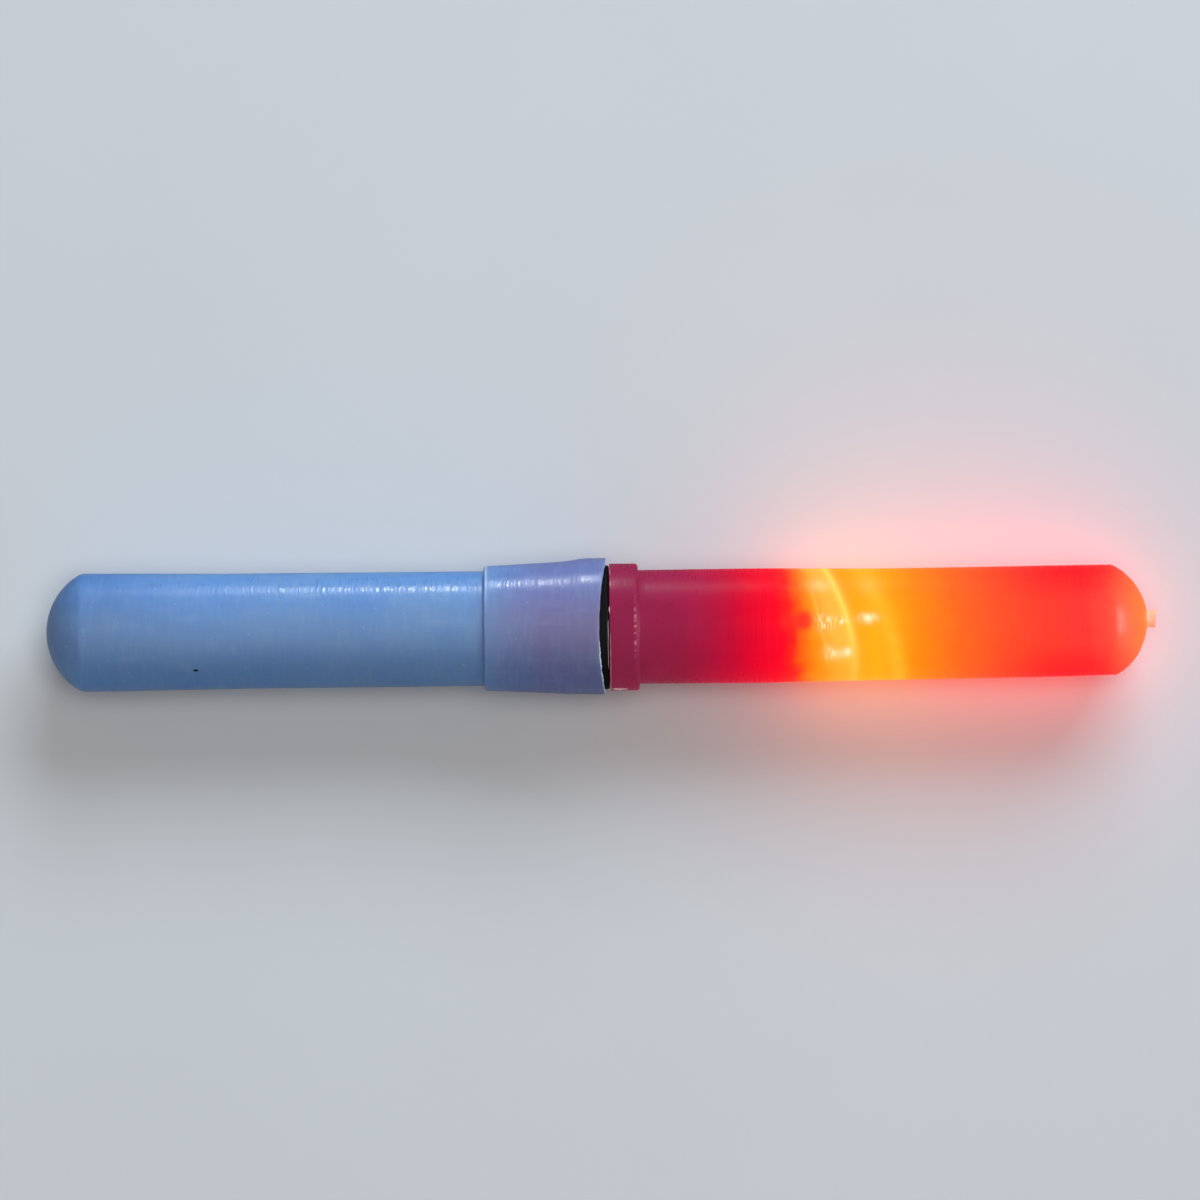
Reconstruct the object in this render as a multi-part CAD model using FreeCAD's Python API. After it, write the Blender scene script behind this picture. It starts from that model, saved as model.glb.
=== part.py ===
import FreeCAD, Part
import math
import os

from FreeCAD import Vector

# A miniature baton light: a closed milky battery tube with a belled socket, a translucent red
# lens cap whose spigot plugs into that socket on a rubber ring, a 3 mm LED and its contacts
# inside the cap, and a 4.2 x 25.9 mm pin-type cell. Millimetres throughout.
#
# Every piece is drawn round the X axis, with stations measured along +X from the outside of
# the battery tube's closed end. place() then moves it to the row frame: the origin is on the
# axis at the middle of the plain barrel, where the baton is gripped, with +X towards the lit
# tip and +Z up.

# ---- running clearances
SLIP = 0.02          # between pieces that are pressed or glued together
FREE = 0.03          # between pieces that slide past one another

# ---- battery tube
TUBE_R = 2.60        # outside of the plain barrel
TUBE_WALL = 0.40
TUBE_DOME_DEPTH = 1.54
SHOULDER_X = 19.25   # where the barrel steps out to the socket
SHOULDER_ROUND = 0.12
SOCKET_R = 2.79      # outside of the socket beside the shoulder
SOCKET_SWELL_X = 22.60
SOCKET_SWELL_R = 2.92
RIM_SWELL_X = 23.55  # the mouth is stretched to its full size from here on
RIM_R = 3.04
MOUTH_X = 24.50
SOCKET_FLOOR_X = 19.75
SOCKET_BORE_R = 2.50
SEAL_BORE_R = 2.76   # inside of the stretched mouth

# ---- lens cap
SPIGOT_R = SOCKET_BORE_R - 1.5 * FREE
SPIGOT_X = SOCKET_FLOOR_X + 2 * FREE
SPIGOT_CHAMFER = 0.12
CELL_BORE_R = 2.15   # bore of the spigot, which the cell runs into
SEAL_NECK_R = 2.40   # floor of the groove that the rubber ring sits in
SEAL_NECK_X = 23.62
COLLAR_X = 24.80
COLLAR_LENGTH = 1.26
COLLAR_R = 2.80
COLLAR_CHAMFER = 0.11
LENS_R = 2.51        # beside the collar
LENS_TIP_END_R = 2.43
LENS_DOME_X = 47.00
LENS_DOME_DEPTH = 1.44
LENS_WALL = 0.38
HOLDER_STOP_X = 29.90
LENS_BORE_R = 2.03
GATE_ROOT_R = 0.31   # stub left where the moulding was torn from its runner
GATE_END_R = 0.35
GATE_LENGTH = 0.45

# ---- rubber ring, in the shape it is squeezed to
RING_LENGTH = 1.10
RING_ROUND = 0.14
RING_END_X = COLLAR_X - FREE

# ---- pin cell
CELL_X = 1.26        # outside of the can's closed end, resting in the tube's dome
CELL_LENGTH = 25.90
CAN_R = 2.10
CAN_LENGTH = 23.60
CAN_WALL = 0.13
CAN_ROUND = 0.42
CRIMP_R = 1.45       # opening in the crimped end
CRIMP_ROUND = 0.30
BEAD_X = 22.95       # groove rolled round the can under the gasket
BEAD_HALF = 0.35
BEAD_DEPTH = 0.14
PIN_R = 0.30
PIN_ROUND = 0.14
LITHIUM_R = 0.80
SEPARATOR_R = 0.92
CELL_FILL_X = 1.60
CELL_FILL_END_X = 22.20
FOIL_END_X = 22.40

# ---- LED, a 3 mm round type
LED_X = 30.36        # underside of its flange
LED_FLANGE_R = 1.90
LED_FLANGE_LENGTH = 1.00
LED_R = 1.50
LED_LENGTH = 5.30
LED_FLAT_Y = 1.62    # half distance to the flat that marks the cathode
LEAD_Y = 1.27        # half of the lead pitch
LEAD_WIDTH = 0.50
LEAD_DEPTH = 0.40
LEAD_BEND_X = 30.96  # inside the flange the leads lean in towards the axis
LEAD_NECK_X = 31.66
POST_Y = 0.86        # top of the anode lead
POST_TOP_X = 32.95
ANVIL_Y = 1.15       # far side of the anvil under the reflector cup
ANVIL_X = 32.60
CUP_R = 0.42
CUP_X = 32.75
CUP_LENGTH = 0.40
CUP_FLOOR_X = 32.98
CUP_MOUTH_R = 0.33
CUP_FLOOR_R = 0.22
CHIP_SIDE = 0.24
CHIP_HEIGHT = 0.14
WIRE_R = 0.025
WIRE_RISE = 0.46     # from the post to the top of the loop

# ---- holder and contacts
HOLDER_X = 26.30
HOLDER_END_X = HOLDER_STOP_X - SLIP
HOLDER_POCKET_X = 29.10
HOLDER_POCKET_R = 1.66
LEAD_HOLE_R = 0.36
SOCKET_PIN_X = 25.55
SOCKET_PIN_END_X = 29.60
SOCKET_PIN_R = 0.50
SOCKET_PIN_BORE_R = PIN_R + FREE
SOCKET_PIN_DEPTH = 1.95
SOCKET_PIN_CHAMFER = 0.08
SOCKET_PIN_FLANGE_R = 0.70
SOCKET_PIN_FLANGE = 0.15
SLIT_WIDTH = 0.10
SLIT_DEPTH = 0.50
CONTACT_INNER_R = 0.86
CONTACT_OUTER_R = 2.06
CONTACT_THICKNESS = 0.14
FINGERS = 3
FINGER_INNER_R = 1.34
FINGER_OUTER_R = 1.79
FINGER_HEEL_Y = 1.00  # where a finger leaves the washer
FINGER_TOE_Y = -0.50  # where it bears on the can
FINGER_TOE = 0.12
FINGER_CURL = 0.30    # its end is curled back from the can
GLUE_R = 1.55
SOLDER_R = 0.36
SOLDER_OFFSET = 0.10
LEAD_TAIL = 0.15      # anode lead left proud of the contact, inside its solder

# ---- values worked out from the ones above
GRIP_MIDDLE_X = (TUBE_DOME_DEPTH + SHOULDER_X) / 2
COLLAR_END_X = COLLAR_X + COLLAR_LENGTH
LENS_TIP_X = LENS_DOME_X + LENS_DOME_DEPTH
OVERALL_LENGTH = LENS_TIP_X + GATE_LENGTH
CAN_END_X = CELL_X + CAN_LENGTH
PIN_END_X = CELL_X + CELL_LENGTH
CAN_BORE_R = CAN_R - CAN_WALL
CONTACT_X = HOLDER_X - SLIP - CONTACT_THICKNESS
FINGER_TOE_X = CAN_END_X + FREE
LEAD_TAIL_X = CONTACT_X - LEAD_TAIL


# ---------------------------------------------------------------------------- drawing helpers
def at(x, r):
    """A point of an outline: station x along the axis, r out from it."""
    return Vector(x, r, 0)


def closed_face(start, steps):
    """A flat face from start through each step: a point for a line, or (through, end) for an arc."""
    edges, here = [], start
    for step in steps:
        if isinstance(step, tuple):
            through, end = step
            edges.append(Part.Arc(here, through, end).toShape())
        else:
            end = step
            edges.append(Part.makeLine(here, end))
        here = end
    if here.distanceToPoint(start) > 1e-7:
        edges.append(Part.makeLine(here, start))
    return Part.Face(Part.Wire(edges))


def turned(start, *steps):
    """The solid swept by an outline turned round the X axis."""
    return closed_face(start, steps).revolve(Vector(0, 0, 0), Vector(1, 0, 0), 360)


def ring(x0, x1, inner, outer):
    """A plain tube from station x0 to x1."""
    return turned(at(x0, inner), at(x0, outer), at(x1, outer), at(x1, inner))


def rod(x0, x1, radius):
    """A plain round bar on the axis."""
    return Part.makeCylinder(radius, x1 - x0, Vector(x0, 0, 0), Vector(1, 0, 0))


def block(x0, x1, y0, y1, z0, z1):
    """A box between the given limits."""
    return Part.makeBox(x1 - x0, y1 - y0, z1 - z0, Vector(x0, y0, z0))


def slab(depth, start, *points):
    """A plate of even depth, centred on the XY plane, with a straight-sided outline."""
    face = closed_face(start, points)
    face.translate(Vector(0, 0, -depth / 2))
    return face.extrude(Vector(0, 0, depth))


def cap_radius(edge_r, depth):
    """Radius of the sphere whose cap has that edge radius and depth."""
    return (edge_r**2 + depth**2) / (2 * depth)


def corner_arc(centre_x, centre_r, radius, from_deg, to_deg):
    """Half-way point and end of an arc about (centre_x, centre_r); 0 degrees points along +X."""
    def spot(degrees):
        turn = math.radians(degrees)
        return at(centre_x + radius * math.cos(turn), centre_r + radius * math.sin(turn))
    return spot((from_deg + to_deg) / 2), spot(to_deg)


# ---------------------------------------------------------------------------- battery tube
def battery_tube():
    """Closed milky barrel with a belled socket, its mouth stretched by the rubber ring."""
    ball = cap_radius(TUBE_R, TUBE_DOME_DEPTH)
    edge = math.degrees(math.asin(TUBE_R / ball))
    inner_ball = ball - TUBE_WALL
    bore_r = TUBE_R - TUBE_WALL
    inner_edge = math.degrees(math.asin(bore_r / inner_ball))
    inner_edge_x = ball - math.sqrt(inner_ball**2 - bore_r**2)
    return turned(
        at(0, 0),
        corner_arc(ball, 0, ball, 180, 180 - edge),
        at(SHOULDER_X, TUBE_R),
        at(SHOULDER_X, SOCKET_R - SHOULDER_ROUND),
        corner_arc(SHOULDER_X + SHOULDER_ROUND, SOCKET_R - SHOULDER_ROUND,
                   SHOULDER_ROUND, 180, 90),
        at(SOCKET_SWELL_X, SOCKET_SWELL_R),
        at(RIM_SWELL_X, RIM_R),
        at(MOUTH_X, RIM_R),
        at(MOUTH_X, SEAL_BORE_R),
        at(RIM_SWELL_X, SEAL_BORE_R),
        at(SOCKET_SWELL_X, SOCKET_BORE_R),
        at(SOCKET_FLOOR_X, SOCKET_BORE_R),
        at(SOCKET_FLOOR_X, bore_r),
        at(inner_edge_x, bore_r),
        corner_arc(ball, 0, inner_ball, 180 - inner_edge, 180),
    )


# ---------------------------------------------------------------------------- lens cap and ring
def lens_cap():
    """Red translucent cap: spigot, groove for the ring, collar, tapered light tube and dome."""
    ball = cap_radius(LENS_TIP_END_R, LENS_DOME_DEPTH)
    centre = LENS_TIP_X - ball
    edge = math.degrees(math.asin(LENS_TIP_END_R / ball))
    inner_ball = ball - LENS_WALL
    inner_edge = math.degrees(math.asin(LENS_BORE_R / inner_ball))
    inner_edge_x = centre + math.sqrt(inner_ball**2 - LENS_BORE_R**2)
    shell = turned(
        at(SPIGOT_X, CELL_BORE_R),
        at(SPIGOT_X, SPIGOT_R - SPIGOT_CHAMFER),
        at(SPIGOT_X + SPIGOT_CHAMFER, SPIGOT_R),
        at(SEAL_NECK_X, SPIGOT_R),
        at(SEAL_NECK_X, SEAL_NECK_R),
        at(COLLAR_X, SEAL_NECK_R),
        at(COLLAR_X, COLLAR_R),
        at(COLLAR_END_X - COLLAR_CHAMFER, COLLAR_R),
        at(COLLAR_END_X, COLLAR_R - COLLAR_CHAMFER),
        at(COLLAR_END_X, LENS_R),
        at(LENS_DOME_X, LENS_TIP_END_R),
        corner_arc(centre, 0, ball, edge, 0),
        at(LENS_TIP_X - LENS_WALL, 0),
        corner_arc(centre, 0, inner_ball, 0, inner_edge),
        at(HOLDER_STOP_X, LENS_BORE_R),
        at(HOLDER_STOP_X, CELL_BORE_R),
    )
    gate_root_x = LENS_TIP_X - LENS_WALL / 2
    gate = turned(at(gate_root_x, 0), at(gate_root_x, GATE_ROOT_R),
                  at(OVERALL_LENGTH, GATE_END_R), at(OVERALL_LENGTH, 0))
    return shell.fuse(gate).removeSplitter()


def seal_ring():
    """Rubber ring, flattened between the spigot's groove and the stretched mouth."""
    inner = SEAL_NECK_R + FREE
    outer = SEAL_BORE_R - FREE
    x0, x1 = RING_END_X - RING_LENGTH, RING_END_X
    return turned(
        at(x0 + RING_ROUND, inner),
        corner_arc(x0 + RING_ROUND, inner + RING_ROUND, RING_ROUND, 270, 180),
        at(x0, outer - RING_ROUND),
        corner_arc(x0 + RING_ROUND, outer - RING_ROUND, RING_ROUND, 180, 90),
        at(x1 - RING_ROUND, outer),
        corner_arc(x1 - RING_ROUND, outer - RING_ROUND, RING_ROUND, 90, 0),
        at(x1, inner + RING_ROUND),
        corner_arc(x1 - RING_ROUND, inner + RING_ROUND, RING_ROUND, 0, -90),
    )


# ---------------------------------------------------------------------------- pin cell
def cell_can():
    """Drawn steel can with a rolled bead and a crimped end; it is the positive pole."""
    bead_from, bead_to = BEAD_X - BEAD_HALF, BEAD_X + BEAD_HALF
    shelf_x = CAN_END_X - CAN_WALL
    return turned(
        at(CELL_X, 0),
        at(CELL_X, CAN_R - CAN_ROUND),
        corner_arc(CELL_X + CAN_ROUND, CAN_R - CAN_ROUND, CAN_ROUND, 180, 90),
        at(bead_from, CAN_R),
        (at(BEAD_X, CAN_R - BEAD_DEPTH), at(bead_to, CAN_R)),
        at(CAN_END_X - CRIMP_ROUND, CAN_R),
        corner_arc(CAN_END_X - CRIMP_ROUND, CAN_R - CRIMP_ROUND, CRIMP_ROUND, 90, 0),
        at(CAN_END_X, CRIMP_R),
        at(shelf_x, CRIMP_R),
        at(shelf_x, CAN_BORE_R),
        at(bead_to, CAN_BORE_R),
        (at(BEAD_X, CAN_BORE_R - BEAD_DEPTH), at(bead_from, CAN_BORE_R)),
        at(CELL_X + CAN_ROUND, CAN_BORE_R),
        corner_arc(CELL_X + CAN_ROUND, CAN_R - CAN_ROUND, CAN_ROUND - CAN_WALL, 90, 180),
        at(CELL_X + CAN_WALL, 0),
    )


def cell_gasket():
    """Insulating plug that closes the can round the pin."""
    foot_x = BEAD_X + BEAD_HALF + SLIP
    shelf_x = CAN_END_X - CAN_WALL - SLIP
    return turned(
        at(foot_x, PIN_R + SLIP), at(foot_x, CAN_BORE_R - SLIP), at(shelf_x, CAN_BORE_R - SLIP),
        at(shelf_x, CRIMP_R - SLIP), at(CAN_END_X - SLIP, CRIMP_R - SLIP),
        at(CAN_END_X - 3 * SLIP, PIN_R + SLIP),
    )


def cell_pin():
    """Plated pin: the negative pole outside, the current collector inside."""
    return turned(
        at(CELL_FILL_X + CAN_ROUND, 0), at(CELL_FILL_X + CAN_ROUND, PIN_R),
        at(PIN_END_X - PIN_ROUND, PIN_R),
        corner_arc(PIN_END_X - PIN_ROUND, PIN_R - PIN_ROUND, PIN_ROUND, 90, 0),
        at(PIN_END_X, 0),
    )


def cell_lithium():
    """Lithium wrapped on the collector."""
    return ring(CELL_FILL_X + CAN_ROUND, CELL_FILL_END_X, PIN_R + SLIP, LITHIUM_R)


def cell_separator():
    """Cup of porous film between the lithium and the cathode."""
    bore = LITHIUM_R + SLIP
    film = SEPARATOR_R - bore
    return turned(
        at(CELL_FILL_X, 0), at(CELL_FILL_X, SEPARATOR_R), at(FOIL_END_X, SEPARATOR_R),
        at(FOIL_END_X, bore), at(CELL_FILL_X + film, bore), at(CELL_FILL_X + film, 0),
    )


def cell_cathode():
    """Pressed cathode sleeve lining the can."""
    return ring(CELL_FILL_X + CAN_ROUND - CAN_WALL, CELL_FILL_END_X,
                SEPARATOR_R + SLIP, CAN_BORE_R - SLIP)


# ---------------------------------------------------------------------------- LED
def led_cathode_lead():
    """Lead, bent to the pin socket outside, and carrying the anvil and reflector cup inside."""
    half = LEAD_WIDTH / 2
    foot_x = SOCKET_PIN_END_X - LEAD_DEPTH
    foot_y = -SOCKET_PIN_R - SLIP
    mid_cup_x = CUP_X + CUP_LENGTH / 2
    lead = slab(
        LEAD_DEPTH,
        at(foot_x, foot_y), at(SOCKET_PIN_END_X, foot_y),
        at(SOCKET_PIN_END_X, -LEAD_Y + half), at(LEAD_BEND_X, -LEAD_Y + half),
        at(CUP_X, CUP_R), at(mid_cup_x, CUP_R), at(mid_cup_x, -CUP_R),
        at(ANVIL_X, -ANVIL_Y), at(LEAD_NECK_X, -ANVIL_Y),
        at(LEAD_BEND_X, -LEAD_Y - half), at(foot_x, -LEAD_Y - half),
    )
    cup = rod(CUP_X, CUP_X + CUP_LENGTH, CUP_R)
    hollow = turned(at(CUP_FLOOR_X, 0), at(CUP_FLOOR_X, CUP_FLOOR_R),
                    at(CUP_X + CUP_LENGTH, CUP_MOUTH_R), at(CUP_X + CUP_LENGTH, 0))
    return lead.fuse(cup).cut(hollow).removeSplitter()


def led_anode_lead():
    """Lead that runs straight through the holder to the can contact, with its post inside."""
    half = LEAD_WIDTH / 2
    return slab(
        LEAD_DEPTH,
        at(LEAD_TAIL_X, LEAD_Y - half), at(LEAD_BEND_X, LEAD_Y - half),
        at(LEAD_NECK_X, POST_Y - half), at(POST_TOP_X, POST_Y - half),
        at(POST_TOP_X, POST_Y + half), at(LEAD_NECK_X, POST_Y + half),
        at(LEAD_BEND_X, LEAD_Y + half), at(LEAD_TAIL_X, LEAD_Y + half),
    )


def led_chip():
    """The die, seated in the reflector cup."""
    half = CHIP_SIDE / 2
    return block(CUP_FLOOR_X, CUP_FLOOR_X + CHIP_HEIGHT, -half, half, -half, half)


def led_bond_wire():
    """Fine wire looped from the die to the anode post."""
    start, end = at(CUP_FLOOR_X + CHIP_HEIGHT, 0), at(POST_TOP_X, POST_Y)
    loop = Part.Arc(start, at(POST_TOP_X + WIRE_RISE, POST_Y / 2), end)
    section = Part.Wire(Part.Circle(start, loop.tangent(loop.FirstParameter)[0], WIRE_R).toShape())
    return Part.Wire(loop.toShape()).makePipeShell([section], True, True)


def led_lens(frame_pieces):
    """Red epoxy body with a domed nose and a flat on its flange, cast round the lead frame."""
    nose_x = LED_X + LED_LENGTH - LED_R
    body = turned(
        at(LED_X, 0), at(LED_X, LED_FLANGE_R), at(LED_X + LED_FLANGE_LENGTH, LED_FLANGE_R),
        at(LED_X + LED_FLANGE_LENGTH, LED_R), at(nose_x, LED_R),
        corner_arc(nose_x, 0, LED_R, 90, 0),
    )
    body = body.cut(block(LED_X - 1, LED_X + LED_FLANGE_LENGTH, -LED_FLANGE_R - 1, -LED_FLAT_Y,
                          -LED_FLANGE_R, LED_FLANGE_R))
    for piece in frame_pieces:
        body = body.cut(piece)
    return body


# ---------------------------------------------------------------------------- holder, contacts
def led_holder():
    """Nylon plug that carries both contacts and spaces the LED from the cell."""
    body = rod(HOLDER_X, HOLDER_END_X, CELL_BORE_R - SLIP)
    body = body.cut(rod(HOLDER_POCKET_X, HOLDER_END_X + 1, HOLDER_POCKET_R))
    body = body.cut(rod(HOLDER_X - 1, HOLDER_POCKET_X + 1, SOCKET_PIN_R + SLIP))
    lead_hole = rod(HOLDER_X - 1, HOLDER_POCKET_X + 1, LEAD_HOLE_R)
    lead_hole.translate(Vector(0, LEAD_Y, 0))
    return body.cut(lead_hole)


def pin_socket():
    """Turned brass socket, slit at its mouth, that grips the cell's pin."""
    flange_x = HOLDER_X - SLIP
    bore_end_x = SOCKET_PIN_X + SOCKET_PIN_DEPTH
    body = turned(
        at(SOCKET_PIN_X, SOCKET_PIN_BORE_R + SOCKET_PIN_CHAMFER), at(SOCKET_PIN_X, SOCKET_PIN_R),
        at(flange_x - SOCKET_PIN_FLANGE, SOCKET_PIN_R),
        at(flange_x - SOCKET_PIN_FLANGE, SOCKET_PIN_FLANGE_R),
        at(flange_x, SOCKET_PIN_FLANGE_R), at(flange_x, SOCKET_PIN_R),
        at(SOCKET_PIN_END_X, SOCKET_PIN_R), at(SOCKET_PIN_END_X, 0), at(bore_end_x, 0),
        at(bore_end_x, SOCKET_PIN_BORE_R),
        at(SOCKET_PIN_X + SOCKET_PIN_CHAMFER, SOCKET_PIN_BORE_R),
    )
    slit = block(SOCKET_PIN_X - 1, SOCKET_PIN_X + SLIT_DEPTH, -SLIT_WIDTH / 2, SLIT_WIDTH / 2,
                 -SOCKET_PIN_R - 1, SOCKET_PIN_R + 1)
    return body.cut(slit)


def contact_finger():
    """One finger of the can contact, above the axis."""
    root_x = CONTACT_X + CONTACT_THICKNESS / 2
    curl_x, curl_y = FINGER_TOE_X + FINGER_CURL, FINGER_TOE_Y - FINGER_TOE - FINGER_CURL
    side = closed_face(at(root_x, FINGER_HEEL_Y), [
        at(FINGER_TOE_X, FINGER_TOE_Y), at(FINGER_TOE_X, FINGER_TOE_Y - FINGER_TOE),
        at(curl_x, curl_y), at(curl_x + CONTACT_THICKNESS / 2, curl_y + CONTACT_THICKNESS / 2),
        at(FINGER_TOE_X + CONTACT_THICKNESS, FINGER_TOE_Y - FINGER_TOE / 2),
        at(root_x, FINGER_HEEL_Y - 1.5 * CONTACT_THICKNESS),
    ])
    side.translate(Vector(0, 0, FINGER_INNER_R))
    return side.extrude(Vector(0, 0, FINGER_OUTER_R - FINGER_INNER_R))


def can_contact():
    """Stamped spring washer whose fingers press on the rim of the can."""
    washer = ring(CONTACT_X, CONTACT_X + CONTACT_THICKNESS, CONTACT_INNER_R, CONTACT_OUTER_R)
    half_width, half_depth = LEAD_WIDTH / 2 + SLIP, LEAD_DEPTH / 2 + SLIP
    washer = washer.cut(block(CONTACT_X - 1, CONTACT_X + 1, LEAD_Y - half_width,
                              LEAD_Y + half_width, -half_depth, half_depth))
    step = 360 / FINGERS
    for number in range(FINGERS):
        finger = contact_finger()
        finger.rotate(Vector(0, 0, 0), Vector(1, 0, 0), (number + 0.25) * step)
        washer = washer.fuse(finger)
    return washer.removeSplitter()


def solder_anode(lead, contact):
    """Solder dome that joins the anode lead to the can contact."""
    blob = Part.makeSphere(SOLDER_R, Vector(CONTACT_X, LEAD_Y, 0))
    front = block(CONTACT_X - 1, CONTACT_X, 0, LEAD_Y + 1, -1, 1)
    return blob.common(front).cut(lead).cut(contact)


def solder_cathode(lead, socket):
    """Solder fillet that joins the cathode lead to the pin socket's tail."""
    centre = Vector(SOCKET_PIN_END_X - LEAD_DEPTH / 2, -SOCKET_PIN_R - SOLDER_OFFSET, 0)
    pocket = rod(HOLDER_POCKET_X + SLIP, LED_X, HOLDER_POCKET_R)
    return Part.makeSphere(SOLDER_R, centre).common(pocket).cut(lead).cut(socket)


def led_glue(bedded_pieces):
    """Bead of resin that bonds the LED's flange to the holder."""
    bead = rod(SOCKET_PIN_END_X + 2 * SLIP, LED_X - SLIP / 2, GLUE_R)
    for piece in bedded_pieces:
        bead = bead.cut(piece)
    return bead


# ---------------------------------------------------------------------------- the whole baton
def place(shape):
    """Moves a piece from the drawing stations to the row frame."""
    shape = shape.copy()
    shape.translate(Vector(-GRIP_MIDDLE_X, 0, 0))
    return shape


def one_solid(name, shape):
    """The single valid solid in a shape, turned the right way out."""
    solids = shape.Solids
    if len(solids) != 1:
        raise ValueError(f"{name} has {len(solids)} solids")
    solid = solids[0]
    if solid.Volume < 0:
        solid.reverse()
    if not solid.isValid():
        raise ValueError(f"{name} is not valid")
    return solid


def build():
    """Every piece of the baton, by node name."""
    cathode, anode = led_cathode_lead(), led_anode_lead()
    chip, wire = led_chip(), led_bond_wire()
    socket, contact = pin_socket(), can_contact()
    joint_a, joint_c = solder_anode(anode, contact), solder_cathode(cathode, socket)
    return {
        "battery_tube": battery_tube(),
        "seal_ring": seal_ring(),
        "lens_cap": lens_cap(),
        "led_lens": led_lens([cathode, anode, chip, wire]),
        "led_chip": chip,
        "led_bond_wire": wire,
        "led_cathode_lead": cathode,
        "led_anode_lead": anode,
        "led_glue": led_glue([cathode, anode, joint_c]),
        "led_holder": led_holder(),
        "pin_socket": socket,
        "can_contact": contact,
        "solder_anode": joint_a,
        "solder_cathode": joint_c,
        "cell_can": cell_can(),
        "cell_gasket": cell_gasket(),
        "cell_pin": cell_pin(),
        "cell_lithium": cell_lithium(),
        "cell_separator": cell_separator(),
        "cell_cathode": cell_cathode(),
    }


def main():
    os.makedirs("parts", exist_ok=True)
    for name, shape in build().items():
        solid = place(one_solid(name, shape))
        solid.exportStep(f"parts/{name}.step")
        print(f"{name:18s} {solid.Volume:9.4f} mm3")


main()
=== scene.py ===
import math

import bmesh
import bpy
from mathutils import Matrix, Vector, noise


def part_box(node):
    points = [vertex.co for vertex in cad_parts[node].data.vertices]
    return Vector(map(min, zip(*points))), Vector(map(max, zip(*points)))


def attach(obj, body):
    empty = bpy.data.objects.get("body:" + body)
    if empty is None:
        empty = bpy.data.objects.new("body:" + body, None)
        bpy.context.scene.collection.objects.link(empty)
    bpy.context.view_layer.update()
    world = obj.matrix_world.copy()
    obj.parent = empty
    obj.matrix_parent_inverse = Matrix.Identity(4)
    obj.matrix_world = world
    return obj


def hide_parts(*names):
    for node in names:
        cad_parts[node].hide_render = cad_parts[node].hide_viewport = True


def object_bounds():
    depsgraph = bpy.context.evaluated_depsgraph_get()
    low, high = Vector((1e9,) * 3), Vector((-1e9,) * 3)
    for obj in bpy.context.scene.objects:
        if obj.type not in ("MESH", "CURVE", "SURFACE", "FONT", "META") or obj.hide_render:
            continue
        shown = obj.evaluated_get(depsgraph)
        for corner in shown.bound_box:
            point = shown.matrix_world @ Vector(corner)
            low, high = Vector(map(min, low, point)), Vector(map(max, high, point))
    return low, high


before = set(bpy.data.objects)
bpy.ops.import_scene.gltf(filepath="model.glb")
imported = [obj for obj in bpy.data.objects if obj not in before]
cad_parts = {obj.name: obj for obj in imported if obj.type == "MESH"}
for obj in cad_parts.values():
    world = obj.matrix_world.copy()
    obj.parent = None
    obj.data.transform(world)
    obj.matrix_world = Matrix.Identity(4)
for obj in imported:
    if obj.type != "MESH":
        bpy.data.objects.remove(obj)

CAD_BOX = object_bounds()
MM = 0.001

# A miniature baton light lying on a pale floor. The CAD frame gives the stations; the shells that
# show are turned again here with their moulding marks, and every piece gets a node material.
# Outlines are (station, radius) in millimetres, stations counted from the tube's closed end.

TUBE_LO, TUBE_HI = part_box("battery_tube")
CAP_LO, CAP_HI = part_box("lens_cap")
RING_LO, RING_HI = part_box("seal_ring")
CAN_LO, CAN_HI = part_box("cell_can")
PIN_LO, PIN_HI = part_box("cell_pin")
DIE_LO, DIE_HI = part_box("led_chip")
TIP_X = TUBE_LO.x


def station(x):
    """Millimetres from the closed end of the tube, for a row X in metres."""
    return (x - TIP_X) / MM


def row_x(mm):
    """Row X in metres of a station in millimetres."""
    return TIP_X + mm * MM


# ---- the milky tube
MOUTH = station(TUBE_HI.x)
RIM_R = TUBE_HI.y / MM
TUBE_WALL = 0.40
DOME_DEPTH = 1.54
BARREL_R = 2.60             # at the dome; the barrel narrows slightly towards the socket
BARREL_END_R = 2.52
SHOULDER = 19.25
SOCKET_FLOOR = 19.75
SOCKET_R = 2.755
SOCKET_BORE_R = 2.50
SEAL_BORE_R = 2.76
MOUTH_FLARE = 0.045         # how far the mouth is pushed towards +Y
MOUTH_CUT = 0.17            # how deep the trimmed mouth dips on its top and underside
MOUTH_BOW = 0.31            # how far it comes forward again at both Y sides

# ---- the red cap
CAP_START = station(CAP_LO.x)
CAP_END = station(CAP_HI.x)
COLLAR = 24.80
COLLAR_LENGTH = 1.26
COLLAR_R = CAP_HI.y / MM
LENS_R = 2.51
LENS_END_R = 2.43
LENS_DOME = 47.00
LENS_DOME_DEPTH = 1.44
CELL_BORE_R = 2.15
LENS_BORE_R = 2.03
HOLDER_STOP = 29.90
SPIGOT_R = 2.455
NECK = 23.62
NECK_R = 2.40
CAP_ASKEW = 0.010           # the cap's tilt in the socket
BOW_START = 34.0            # from here the light tube bows towards +Y
LENS_BOW = 0.095
DOME_LEAN = 0.038

SEGMENTS = 192
UNEVEN = 0.006              # how far the mouldings are out of round


# ------------------------------------------------------------------------------ outlines
def cap_radius(edge_r, depth):
    """Radius of the sphere whose cap has that edge radius and depth."""
    return (edge_r**2 + depth**2) / (2 * depth)


def dome(centre, radius, start_deg, end_deg, steps=26):
    """Points of an arc round a centre on the axis; 180 degrees is the closed end's side."""
    turns = [math.radians(start_deg + (end_deg - start_deg) * i / steps) for i in range(steps + 1)]
    return [(centre + radius * math.cos(t), max(radius * math.sin(t), 0.0)) for t in turns]


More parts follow.
